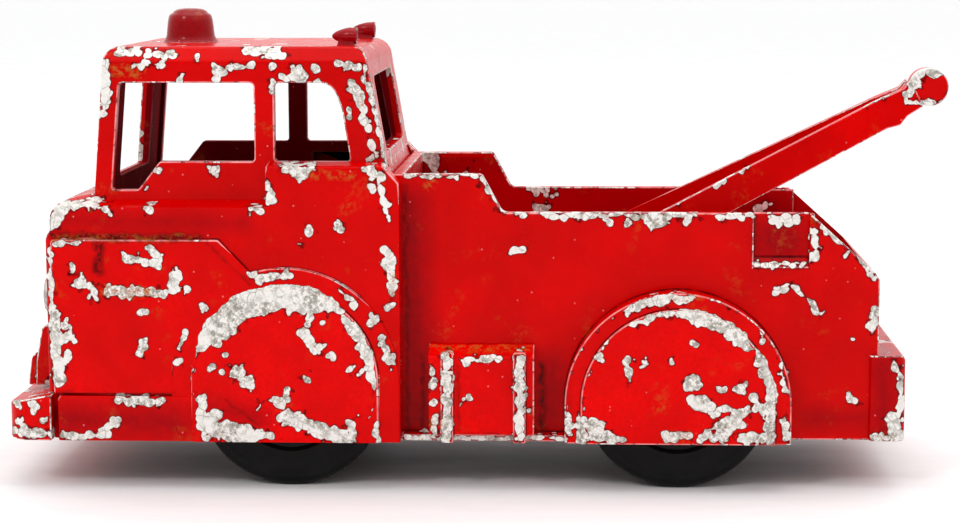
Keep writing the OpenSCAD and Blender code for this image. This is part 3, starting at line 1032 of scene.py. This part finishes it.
CAB_WEAR = WearMap(
    near_y=-13.6,
    chips=(
        # wheel cover
        Crescent(31.6, 12.4, 10.4, 48, 166, 2.4), Crescent(31.6, 12.4, 10.1, -8, 52, 0.9),
        Spot(24, 16.6, 0.7), Spot(25, 15.6, 0.3), Spot(23.5, 14.1, 0.4), Spot(24.6, 13.5, 0.25),
        Spot(26.5, 13.4, 0.95), Spot(27.4, 12.3, 0.85), Streak(33.9, 18, 34.6, 16.5, 0.6),
        Spot(35.5, 16.1, 0.6), Spot(37, 15.4, 0.45), Spot(39, 13.9, 0.4), Spot(40.1, 13.4, 0.4),
        Spot(34, 12.9, 0.45), Streak(34.4, 20, 34.5, 19, 0.4), Spot(36.1, 19.2, 0.25),
        Streak(30.5, 10.4, 31.4, 9.4, 0.4), Streak(31.8, 11.4, 31.4, 9.3, 0.3), Spot(28.8, 9.7, 0.25),
        Streak(22.2, 10.4, 22.4, 6.2, 0.45), Spot(23.6, 8.4, 0.9), Streak(23, 7.2, 27.5, 6.4, 1.0),
        Streak(27, 6.3, 30, 6.1, 0.35), Streak(31.6, 8.6, 34.5, 7.3, 0.8), Streak(34.5, 7.3, 38, 6.2, 0.85),
        Streak(39.1, 7.8, 39, 6, 0.4), Streak(41.9, 7.4, 41.9, 5.8, 0.35), Spot(39.9, 8.6, 0.2),
        # ring round it
        Spot(22.6, 20.7, 0.4), Streak(20.5, 17.9, 19.6, 15.9, 0.25), Spot(19.5, 14.5, 0.4),
        Streak(28.3, 24.1, 32, 24.3, 0.4), Streak(37.9, 22.9, 39.6, 21.5, 0.25), Spot(39.4, 21, 0.4),
        Spot(41.5, 19.3, 0.55), Streak(42.4, 17, 43.8, 14.5, 0.4),
        # back edge and quarter panel
        Spot(34.4, 29.3, 0.65), Spot(37.9, 29.8, 0.5), Spot(33.1, 28.1, 0.25),
        Streak(43, 27.2, 43.3, 25.8, 0.5), Streak(43.4, 25.5, 43.8, 22.4, 0.35), Spot(43.5, 20.9, 0.5),
        Streak(43, 32.7, 43.2, 31, 0.3), Streak(31.8, 36.3, 34.8, 36.2, 0.45), Spot(33.6, 35.4, 0.6),
        Streak(41.3, 36, 42.8, 35, 0.45), Streak(42.3, 34.8, 43.1, 32, 0.4), Spot(41.5, 34.2, 0.45),
        Streak(29.9, 34.5, 30.2, 32.8, 0.45),
        # hood and wing
        Streak(6.9, 32, 5.6, 29.8, 0.6), Streak(7.6, 32, 10.5, 32.2, 0.4), Spot(12, 31.5, 0.5),
        Spot(16.5, 31.6, 0.5), Streak(28, 31.7, 29, 31.5, 0.4), Streak(6, 27.8, 8.6, 27.9, 0.25),
        Streak(5.2, 27, 5.4, 20, 0.35), Streak(5.6, 19.5, 5.9, 12.5, 0.8), Spot(7, 18.8, 0.55),
        Spot(7.4, 17.2, 0.6), Spot(7, 15, 0.6), Streak(7.8, 25.3, 8.2, 24.2, 0.2), Spot(8.7, 23.5, 0.7),
        Streak(10, 22.9, 10.3, 21.8, 0.5), Streak(11.5, 22.5, 18.2, 22.3, 0.5),
        Streak(19.6, 24.6, 19.3, 22.8, 0.5), Spot(20.6, 22.9, 0.4), Streak(13.9, 26.4, 17.1, 25.5, 0.4),
        Streak(16.7, 27.5, 17.9, 26.7, 0.4), Streak(17.9, 26.7, 17.3, 25.5, 0.4), Spot(15.7, 20.3, 0.4),
        Streak(15.6, 16.6, 15.1, 15.5, 0.5), Streak(12.8, 10.1, 17.6, 10.1, 0.5),
        Streak(6.5, 6, 11.5, 6.3, 0.35), Streak(11, 6.6, 12.6, 7.8, 0.4),
        # roof and posts
        Streak(13, 49, 15, 49.2, 0.5), Streak(16.3, 48.8, 19, 48.7, 0.4), Spot(21.9, 48.4, 0.35),
        Streak(27.4, 49.2, 31.4, 48.8, 0.55), Streak(14.9, 47.6, 17.7, 47.6, 0.3), Spot(24.2, 46.9, 0.8),
        Spot(24, 46, 0.55), Streak(25.5, 47.5, 28, 47.5, 0.35), Spot(30.2, 47.4, 0.4), Spot(33, 47, 0.65),
        Streak(31.6, 46, 33.8, 46, 0.4), Spot(35.1, 47.2, 0.5), Spot(35.3, 45.9, 0.3),
        Streak(37.5, 47.6, 40, 47.4, 0.35), Spot(19.8, 46.1, 0.35), Streak(30.4, 45.8, 30.2, 44.6, 0.3),
        Streak(11.4, 47.4, 11.5, 43.4, 0.65), Spot(10.9, 42, 0.45), Streak(39.3, 45.2, 40, 43.8, 0.6),
        Streak(39.9, 43.9, 41, 40.6, 0.4), Streak(41.2, 39.2, 41.6, 37.2, 0.35),
        Streak(38.7, 42.7, 39, 41.8, 0.25), Streak(40.4, 47.6, 43, 36.6, 0.2), Spot(23.5, 35.8, 0.55),
        Spot(16.9, 35.8, 0.35), Spot(16, 33.7, 0.35),
    ),
    rust=(
        Streak(35, 35.6, 39.5, 35.5, 0.5), Streak(6, 28.4, 22, 28.5, 0.3),
        Streak(11.5, 22.5, 17, 22.3, 0.6), Streak(12.5, 47, 15.5, 46.8, 0.6),
        Streak(39.8, 44, 40.6, 42.8, 0.3), Streak(43.6, 24.5, 43.9, 22.5, 0.3),
    ),
    dirt=(
        Streak(5, 28.6, 22.4, 28.5, 0.38), Streak(10.9, 28, 10.9, 24.8, 0.5),
        Streak(22.4, 28.5, 28, 23.4, -0.05), Streak(5.2, 10.9, 19, 10.9, -0.05),
        Streak(5.6, 5.6, 5.6, 10.6, 0.1), Streak(25, 10.2, 28.5, 7.6, 0.0),
    ),
    # painted shade in three soft strips on the cab's side
    shade_marks=(Streak(7, 8, 19, 7.6, 1.2), Streak(23, 9.6, 29, 8.2, 0.3), Streak(6, 30.4, 27, 30.2, 0.0)),
    # painted shade inside the cab
    hollow=Hollow(
        half_y=14.6, top=48.4, base=20, front=9.4, front_slope=0.085, back=44.4, back_slope=-0.15, depth=0.85
    ),
    loose=0.5,
    edges=0.5,
)


@dataclass
class Cab:
    """The cast cab with its hood, wings and wheel covers."""

    edge_radius: float = 0.16
    wear: WearMap = CAB_WEAR

    def build(self) -> None:
        """Builds the cab."""
        mesh = cad_shape("cab_shell")
        round_edges(mesh, self.edge_radius)
        show(mesh, "cab_casting", Body.TRUCK, RedEnamel(self.wear), "cab_shell")


# ---------------------------------------------------------------- bed


BED_WEAR = WearMap(
    near_y=-13.6,
    chips=(
        Streak(45, 35.2, 53, 35.2, 0.15), Streak(53.6, 34.9, 56, 31.5, 0.4),
        Streak(57.5, 30.9, 61, 30.9, 0.15), Streak(61, 30.8, 77.5, 30.8, 0.3), Spot(67.8, 30.1, 0.5),
        Spot(70, 30.1, 0.4), Streak(72.3, 30, 73.5, 30.1, 0.5), Spot(76.3, 30.4, 0.4),
        Streak(79.7, 30.7, 83.8, 30.7, 0.2), Streak(86.3, 30.2, 88.5, 30.3, 0.5),
        Streak(84.3, 25.3, 89.5, 25.3, 0.2), Streak(90.6, 28.8, 90.7, 25.9, 0.4),
        Streak(91, 30.3, 97.4, 24.4, 0.35), Spot(94.3, 26.7, 0.45), Spot(96.8, 24.2, 0.5),
        Streak(97.5, 20.3, 97.3, 18.2, 0.45), Streak(57, 26.6, 58.2, 26.9, 0.35),
        Streak(86.6, 22.4, 88.2, 23, 0.4), Streak(88.2, 23, 89.8, 21.7, 0.4),
        Streak(89.8, 21.7, 91.2, 19.9, 0.35), Streak(95, 10.3, 95.5, 9.9, 0.35), Spot(95.1, 16.9, 0.2),
        Streak(45, 5.8, 63, 5.8, 0.2),
        # ring round the wheel cover
        Crescent(75.5, 9.9, 12.3, 78, 122, 0.8), Streak(63.4, 8.8, 63.6, 6.5, 0.3),
        Streak(86.8, 14.6, 87.4, 11.8, 0.25), Streak(87.3, 8, 87.5, 6.2, 0.35), Spot(84.9, 17.3, 0.3),
        # wheel cover
        Crescent(75.5, 9.9, 10.6, 82, 126, 0.5), Crescent(75.5, 9.9, 10.6, 36, 92, 1.3),
        Crescent(75.5, 9.9, 10.7, -14, 38, 0.9), Streak(85.7, 9.5, 85.6, 6.3, 0.55), Spot(77, 12.5, 0.9),
        Streak(77.4, 10.3, 78.8, 9.8, 0.8), Spot(79.8, 9.2, 0.6), Spot(80.8, 9.6, 0.55),
        Spot(80.3, 11.6, 0.45), Spot(82.4, 12, 0.65), Streak(83.9, 11.2, 84.4, 9.9, 0.5),
        Streak(84.4, 9.6, 85, 8.5, 0.3), Streak(82.7, 9.2, 80, 7, 0.65), Streak(79.9, 7.6, 82.2, 8, 0.7),
        Streak(78.3, 6.4, 81, 6.8, 0.5), Streak(74.3, 6.6, 76.6, 6.6, 0.45),
        Streak(83, 6.4, 85.5, 6.6, 0.6), Streak(64.8, 8.2, 65, 6.2, 0.6), Spot(66.2, 7.6, 1.0),
        Streak(66, 6.6, 69, 6.1, 0.5), Streak(69.8, 15.1, 70, 12.9, 0.3), Spot(70.7, 15.3, 0.25),
        Spot(71.9, 14.7, 0.35), Spot(74.6, 14.9, 0.25), Spot(77.2, 17.1, 0.3), Spot(66.8, 15.3, 0.45),
    ),
    rust=(Spot(47.8, 34.4, 0.7), Streak(73.6, 21.6, 78, 21.9, 0.2), Spot(76.6, 6.6, 0.6)),
    dirt=(
        Streak(45.0, 34, 45.2, 6, 0.1), Streak(46.9, 15, 46.9, 6, 0.1), Streak(60.3, 14, 60.4, 6.5, 0.3),
        Streak(97.6, 14, 97.6, 6, 0.1), Streak(83.9, 30, 83.9, 25.5, -0.05),
    ),
    # painted shade in soft patches on the bed's side
    shade_marks=(
        Streak(45.6, 32, 46.5, 8, 1.3), Streak(61.5, 14, 61.5, 8, 0.6), Streak(91, 8, 96, 8, 0.2),
        Spot(87, 28, 2.2),
    ),
    # painted shade inside the bed
    hollow=Hollow(half_y=14.15, top=34.8, base=23.0, front=44.9, back=96.5, depth=0.35),
    loose=0.45,
    edges=0.55,
)


@dataclass
class Bed:
    """The cast bed with its rails and wheel covers."""

    edge_radius: float = 0.16
    wear: WearMap = BED_WEAR

    def build(self) -> None:
        """Builds the bed."""
        mesh = cad_shape("bed_shell")
        round_edges(mesh, self.edge_radius)
        show(mesh, "bed_casting", Body.TRUCK, RedEnamel(self.wear), "bed_shell")


# ---------------------------------------------------------------- bumpers and nose


FRONT_BUMPER_WEAR = WearMap(
    near_y=-17.2,
    chips=(
        Spot(3.2, 9.4, 0.6), Spot(4.3, 7.8, 0.45), Streak(0.6, 6.4, 5, 6.2, 0.45), Spot(1.2, 9.6, 0.45),
        Streak(1.6, 7.4, 2.3, 6.6, 0.5),
    ),
    loose=0.6,
    edges=0.7,
)

REAR_BUMPER_WEAR = WearMap(
    near_y=-15.4,
    chips=(
        Streak(99.7, 14.8, 100, 13, 0.35), Streak(100.4, 12, 100.3, 8, 0.35), Spot(99.6, 8.1, 0.8),
        Streak(99.4, 8, 100.3, 6, 0.7), Streak(97.2, 5.8, 99, 5.9, 0.25),
    ),
    # painted shade down the bumper's side
    shade_marks=(Streak(98.4, 14, 98.6, 7, 1.1),),
    loose=0.6,
    edges=0.6,
)


@dataclass
class NoseAndTail:
    """Bumpers, guards, grille and headlamps."""

    edge_radius: float = 0.14
    lamp_x: float = 4.53
    lamp_y: float = 14.0
    lamp_z: float = 21.5
    lamp_profile: tuple[tuple[float, float], ...] = (
        (0, 0),
        (2.2, 0),
        (2.2, 0.32),
        (2.05, 0.52),
        (1.85, 0.66),
        (1.68, 0.52),
        (1.55, 0.42),
        (1.0, 0.52),
        (0.5, 0.57),
        (0, 0.59),
    )

    def build(self) -> None:
        """Builds the bumpers, guards, grille and headlamps."""
        self.casting("front_bumper", "front_bumper_bar", FRONT_BUMPER_WEAR)
        self.casting("rear_bumper", "rear_bumper_bar", REAR_BUMPER_WEAR)
        self.casting("grille", "nose_grille", WearMap(near_y=NO_SIDE, loose=0.5, edges=0.75))
        self.casting("bumper_guards", "front_guards", WearMap(near_y=NO_SIDE, loose=0.6, edges=0.6))
        self.headlamps()

    def casting(self, node: str, name: str, wear: WearMap) -> None:
        """Builds one painted casting from its CAD shape.

        Args:
            node: The CAD node.
            name: The piece's name.
            wear: Where it is worn.
        """
        mesh = cad_shape(node)
        round_edges(mesh, self.edge_radius)
        show(mesh, name, Body.TRUCK, RedEnamel(wear), node)

    def headlamps(self) -> None:
        """Builds the two lamps with their raised rims and domed lenses."""
        centre = place(self.lamp_x, -self.lamp_y, self.lamp_z)
        lamp = turned(self.lamp_profile, centre, Vector((-1, 0, 0)), 48)
        round_edges(lamp, 0.05)
        mesh = join([reflected(lamp), lamp])
        show(mesh, "headlamp_pair", Body.TRUCK, CastMetal(), "headlamps")


# ---------------------------------------------------------------- tool boxes


TOOL_BOX_WEAR = WearMap(
    near_y=-16.2,
    chips=(
        Streak(49.75, 15.3, 49.75, 6, 0.55), Streak(57.85, 15.3, 57.85, 6, 0.5),
        Streak(51.2, 14.9, 55.4, 15, 0.25), Spot(52, 14.6, 0.3), Streak(48.1, 14, 48.1, 11.5, 0.3),
        Spot(48.2, 10, 0.25), Streak(48.3, 8.4, 48.6, 6.4, 0.4), Spot(52.1, 10.5, 0.35),
        Spot(51.3, 9.6, 0.25), Spot(59.1, 9.2, 0.25),
    ),
    rust=(Spot(48.6, 7.6, 0.8), Streak(48, 16, 59, 16, 0.35), Spot(59.2, 9, 0.3)),
    dirt=(Spot(49.2, 8.4, 0.5), Streak(51, 14, 51, 7, 0.05), Streak(48, 6.3, 59, 6.3, 0.05)),
    loose=0.5,
    edges=0.45,
)


@dataclass
class ToolBoxes:
    """The box with two strap ribs on each side, between the wheels."""

    edge_radius: float = 0.14
    top_z: float = 15.2
    cut_xs: tuple[int, int] = (48, 60)

    def build(self) -> None:
        """Builds both boxes, with ragged upper edges."""
        for side in ("left", "right"):
            mesh = cad_shape("tool_box_" + side)
            cuts = [((0, 0, self.top_z), (0, 0, 1))]
            cuts += [((x, 0, 0), (1, 0, 0)) for x in range(*self.cut_xs)]
            for point, normal in cuts:
                everything = mesh.verts[:] + mesh.edges[:] + mesh.faces[:]
                bmesh.ops.bisect_plane(mesh, geom=everything, plane_co=place(*point), plane_no=normal)
            roughen(mesh, 0.16, 1.1, lambda co: 1.0 if co.z > self.top_z * MM else 0.0)
            round_edges(mesh, self.edge_radius)
            # no painted recess shade on the boxes
            finish = RedEnamel(TOOL_BOX_WEAR, recess_shade=0.0)
            show(mesh, "strapped_box_" + side, Body.TRUCK, finish, "tool_box_" + side)


# ---------------------------------------------------------------- roof


@dataclass
class RoofFittings:
    """The round beacon and the two bullet lamps that face back."""

    roof_z: float = 49.6
    beacon_x: float = 18.5
    ragged_height: float = 0.5
    beacon_profile: tuple[tuple[float, float], ...] = (
        (0, 0),
        (3.28, 0),
        (3.1, 0.14),
        (2.95, 0.35),
        (2.82, 0.75),
        (2.74, 1.5),
        (2.64, 2.4),
        (2.52, 3.05),
        (2.36, 3.28),
        (2.1, 3.4),
        (1.95, 3.62),
        (1.55, 3.86),
        (0.8, 3.96),
        (0, 3.98),
    )
    # painted shade: the body's red, darkened for the beacon and lamps
    shaded_red_light: Colour = (0.40, 0.0, 0.008)
    shaded_red_deep: Colour = (0.2, 0.0, 0.004)
    lamp_x: float = 39.3
    lamp_y: float = 10.9
    lamp_up: float = 1.05
    foot_back: float = 1.2
    foot_size: tuple[float, float] = (1.6, 1.2)
    foot_flare: tuple[float, float] = (0.25, 0.35)
    lamp_profile: tuple[tuple[float, float], ...] = (
        (0, 0.1),
        (0.62, 0.1),
        (0.7, 0),
        (0.93, 0),
        (0.95, 0.2),
        (0.9, 0.42),
        (0.92, 0.8),
        (0.85, 1.3),
        (0.7, 1.9),
        (0.5, 2.4),
        (0.25, 2.75),
        (0, 2.88),
    )

    def build(self) -> None:
        """Builds the beacon and both lamps."""
        beacon = turned(self.beacon_profile, place(self.beacon_x, 0, self.roof_z), Vector((0, 0, 1)))
        foot_top = (self.roof_z + self.ragged_height) * MM
        roughen(beacon, 0.16, 1.5, lambda co: 1.0 if self.roof_z * MM < co.z < foot_top else 0.25)
        round_edges(beacon, 0.08)
        finish = self.glossy(WearMap(near_y=NO_SIDE, loose=0.35, edges=0.4))
        show(beacon, "domed_beacon", Body.TRUCK, finish, "roof_beacon")
        self.lamp("left", -1)
        self.lamp("right", 1)

    def glossy(self, wear: WearMap) -> RedEnamel:
        """Gives the body's red paint darkened as painted shade and made glossier, worn as the map says."""
        return RedEnamel(wear, self.shaded_red_light, self.shaded_red_deep, shine=0.2)

    def lamp(self, side: str, sign: int) -> None:
        """Builds one bullet lamp on its cast foot.

        Args:
            side: left or right.
            sign: -1 on the left and 1 on the right.
        """
        centre = place(self.lamp_x, sign * self.lamp_y, self.roof_z + self.lamp_up)
        bullet = turned(self.lamp_profile, centre, Vector((-1, 0, 0)), 40)
        roughen(bullet, 0.07, 0.9)
        foot = bmesh.new()
        bmesh.ops.create_cube(foot, size=1.0)
        length, width = self.foot_size
        bmesh.ops.scale(foot, vec=(length * MM, width * MM, self.lamp_up * MM), verts=foot.verts)
        foot_at = place(self.lamp_x - self.foot_back, sign * self.lamp_y, self.roof_z + self.lamp_up / 2)
        bmesh.ops.translate(foot, vec=foot_at, verts=foot.verts)
        bmesh.ops.subdivide_edges(foot, edges=foot.edges[:], cuts=3, use_grid_fill=True)
        middle = centre - Vector((self.foot_back * MM, 0, 0))
        flare_x, flare_y = self.foot_flare
        for vert in foot.verts:
            drop = 1.0 - (vert.co.z / MM - self.roof_z) / self.lamp_up
            vert.co.x = middle.x + (vert.co.x - middle.x) * (1.0 + flare_x * drop * drop)
            vert.co.y = middle.y + (vert.co.y - middle.y) * (1.0 + flare_y * drop * drop)
        finish = self.glossy(WearMap(near_y=NO_SIDE, loose=0.55, edges=0.6))
        lamp = join([bullet, foot])
        show(lamp, "bullet_lamp_" + side, Body.TRUCK, finish, "work_light_" + side)


# ---------------------------------------------------------------- boom


BOOM_WEAR = WearMap(
    near_y=0.3,
    chips=(
        Streak(74.4, 31, 79, 33.6, 0.2), Streak(79.8, 33.7, 83.8, 35.9, 0.3),
        Streak(84.6, 36.6, 86, 37.2, 0.25), Streak(90, 39.2, 95, 41.6, 0.12),
        Streak(97.5, 42.6, 100.5, 44.2, 0.3), Crescent(104.9, 44.4, 2.1, 30, 190, 0.9),
        Streak(102.4, 43.6, 103.2, 45.6, 0.5), Streak(102.6, 42.6, 105.6, 42.5, 0.25),
        Spot(103.2, 44.4, 0.45),
    ),
    loose=0.4,
    edges=0.5,
)


@dataclass
class Boom:
    """The A-frame boom and the pin it turns on."""

    edge_radius: float = 0.12
    pin_r: float = 0.8
    pin_chamfer: float = 0.12

    def build(self) -> None:
        """Builds the boom and its pin."""
        mesh = cad_shape("boom")
        round_edges(mesh, self.edge_radius)
        show(mesh, "a_frame_boom", Body.BOOM, RedEnamel(BOOM_WEAR), "boom")
        pin = rod("boom_pin", self.pin_r, self.pin_chamfer)
        round_edges(pin, 0.04)
        show(pin, "boom_foot_pin", Body.TRUCK, BareSteel(), "boom_pin")


# ---------------------------------------------------------------- underside and wheels


@dataclass
class Underside:
    """The base plate with its rivets, the axle wires and their end caps."""

    edge_radius: float = 0.1
    rivet_xs: tuple[float, ...] = (10, 50, 92)
    rivet_z: float = 5.8
    rivet_profile: tuple[tuple[float, float], ...] = (
        (0, 0.03),
        (0.55, 0.0),
        (1.5, 0.02),
        (1.68, 0.12),
        (1.69, 0.49),
        (0.99, 0.5),
        (0.99, 3.9),
        (0.8, 3.99),
        (0, 4.0),
    )
    axle_xs: tuple[float, ...] = (31.9, 75.5)
    axle_z: float = 10.6
    wire_chamfer: float = 0.2
    cap_profile: tuple[tuple[float, float], ...] = (
        (1.02, -0.5),
        (1.88, -0.5),
        (1.9, -0.2),
        (1.6, -0.06),
        (1.3, 0),
        (1.02, 0),
    )

    def build(self) -> None:
        """Builds the plate, rivets, axles and caps."""
        plate = cad_shape("base_plate")
        round_edges(plate, self.edge_radius)
        show(plate, "pressed_base", Body.TRUCK, PlateSteel(), "base_plate")
        feet = [place(x, 0, self.rivet_z) for x in self.rivet_xs]
        rivets = [turned(self.rivet_profile, foot, Vector((0, 0, 1)), 40) for foot in feet]
        show(join(rivets), "spun_rivets", Body.TRUCK, BareSteel(), "base_rivets")
        for name in ("front", "rear"):
            self.axle(name)
        self.caps()

    def axle(self, name: str) -> None:
        """Builds one axle wire with chamfered ends.

        Args:
            name: front or rear.
        """
        low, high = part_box(name + "_axle")
        wire = rod(name + "_axle", (high.z - low.z) / 2 / MM, self.wire_chamfer)
        show(wire, name + "_axle_wire", Body.TRUCK, BareSteel(), name + "_axle")

    def caps(self) -> None:
        """Builds the pressed caps that hold the wheels on."""
        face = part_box("axle_caps")[0].y / MM
        seats = [place(x, face, self.axle_z) for x in self.axle_xs]
        near = [turned(self.cap_profile, seat, Vector((0, -1, 0)), 40) for seat in seats]
        both = join([*(reflected(cap) for cap in near), *near])
        show(both, "pressed_caps", Body.TRUCK, BareSteel(), "axle_caps")


@dataclass
class Wheel:
    """One tyre on its hub."""

    corner: str
    body: Body
    width: float = 4.8
    radius: float = 10.6
    seat: float = 6.2

    def build(self) -> None:
        """Builds the tyre and the hub."""
        low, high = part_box("tyre_" + self.corner)
        centre = (low + high) / 2
        side = Vector((0, -1 if "left" in self.corner else 1, 0))
        h = self.width / 2
        r = self.radius
        s = self.seat
        bead = [(s, 0.3 - h), (s + 0.4, -h), (s + 1.0, -h), (s + 1.2, 0.12 - h)]
        wall = [(r - 1.7, 0.1 - h), (r - 1.4, -h), (r - 1.05, -h)]
        shoulder = [(r - 0.65, 0.08 - h), (r - 0.3, 0.33 - h), (r - 0.08, 0.7 - h), (r - 0.01, 1.1 - h)]
        tread = [(r - 0.01, -0.16), (r, -0.08), (r, 0.08), (r - 0.01, 0.16)]
        half = bead + wall + shoulder
        profile = half + tread + [(radius, -d) for radius, d in reversed(half)]
        tyre = turned(profile, centre, side, 128)
        rubber = BlackMoulding(shine=0.38, bloom=0.3)
        show(tyre, "rubber_" + self.corner, self.body, rubber, "tyre_" + self.corner)
        hub = cad_shape("hub_" + self.corner)
        round_edges(hub, 0.1)
        plastic = BlackMoulding(black=(0.006, 0.006, 0.007), shine=0.28, bloom=0.2)
        show(hub, "moulded_hub_" + self.corner, self.body, plastic, "hub_" + self.corner)


# ---------------------------------------------------------------- studio


@dataclass
class Studio:
    """The pale table, the soft lights and the camera."""

    camera_at: Point = (0.01255, -0.27419, 0.05947)
    turn: float = 2.8135
    tilt: float = -7.4518
    lean: float = -0.17
    lens: float = 87.37
    sky: float = 1.22
    sky_low: Colour = (0.3, 0.3, 0.3)
    sky_from: Point = (0.0, 0.3, 0.95)
    lights: tuple[tuple[str, Point, float, float], ...] = (
        ("overhead", (0.05, 0.05, 0.55), 0.5, 1.0),
        ("front_left", (-0.3, -0.5, 0.5), 0.12, 0.9),
    )

    def build(self) -> None:
        """Builds the table, lights, sky and camera."""
        self.table()
        self.sky_light()
        for name, at, size, power in self.lights:
            self.softbox(name, Vector(at), size, power)
        self.camera()

    def table(self) -> None:
        """Builds the white table covering."""
        mesh = bmesh.new()
        bmesh.ops.create_grid(mesh, x_segments=12, y_segments=12, size=12)
        data = bpy.data.meshes.new("table")
        mesh.to_mesh(data)
        mesh.free()
        table = bpy.data.objects.new("table", data)
        bpy.context.scene.collection.objects.link(table)
        data.materials.append(PalePaper().make("table_finish"))

    def sky_light(self) -> None:
        """Fills the room with white light that is brightest above and behind the truck."""
        world = bpy.data.worlds.new("room")
        bpy.context.scene.world = world
        world.use_nodes = True
        nodes = world.node_tree.nodes
        links = world.node_tree.links
        nodes["Background"].inputs["Strength"].default_value = self.sky
        direction = nodes.new("ShaderNodeTexCoord")
        towards = nodes.new("ShaderNodeVectorMath")
        towards.operation = "DOT_PRODUCT"
        towards.inputs[1].default_value = self.sky_from
        links.new(direction.outputs["Generated"], towards.inputs[0])
        fade = nodes.new("ShaderNodeValToRGB")
        fade.color_ramp.elements[0].color = (*self.sky_low, 1)
        fade.color_ramp.elements[1].color = (1, 1, 1, 1)
        fade.color_ramp.elements[0].position = 0.0
        fade.color_ramp.elements[1].position = 0.55
        links.new(towards.outputs["Value"], fade.inputs[0])
        links.new(fade.outputs[0], nodes["Background"].inputs["Color"])

    def softbox(self, name: str, at: Vector, size: float, power: float) -> None:
        """Adds one soft square light that faces the truck.

        Args:
            name: Its name.
            at: Its place in metres.
            size: Its side in metres.
            power: Its power in watts.
        """
        data = bpy.data.lights.new(name, "AREA")
        data.size = size
        data.energy = power
        lamp = bpy.data.objects.new(name, data)
        bpy.context.scene.collection.objects.link(lamp)
        lamp.location = at
        lamp.rotation_euler = (Vector((0, 0, 0.02)) - at).to_track_quat("-Z", "Y").to_euler()

    def camera(self) -> None:
        """Adds the camera, a little above the truck and level with its middle."""
        data = bpy.data.cameras.new("camera")
        data.lens = self.lens
        data.sensor_width = 36
        data.clip_start = 0.01
        camera = bpy.data.objects.new("camera", data)
        scene = bpy.context.scene
        scene.collection.objects.link(camera)
        camera.matrix_world = (
            Matrix.Translation(self.camera_at)
            @ Matrix.Rotation(math.radians(self.turn), 4, "Z")
            @ Matrix.Rotation(math.radians(90 + self.tilt), 4, "X")
            @ Matrix.Rotation(math.radians(self.lean), 4, "Z")
        )
        scene.camera = camera
        scene.view_settings.view_transform = "Standard"


def main() -> None:
    """Builds the truck piece by piece, then the studio."""
    logging.basicConfig(level=logging.INFO, format="%(name)s: %(message)s")
    corners = (
        Wheel("front_left", Body.FRONT_LEFT),
        Wheel("front_right", Body.FRONT_RIGHT),
        Wheel("rear_left", Body.REAR_LEFT),
        Wheel("rear_right", Body.REAR_RIGHT),
    )
    truck = (Underside(), *corners, Bed(), Cab(), ToolBoxes(), NoseAndTail(), RoofFittings(), Boom())
    for assembly in (*truck, Studio()):
        assembly.build()
        LOG.info("%s is built", type(assembly).__name__)


if __name__ == "__main__":
    main()
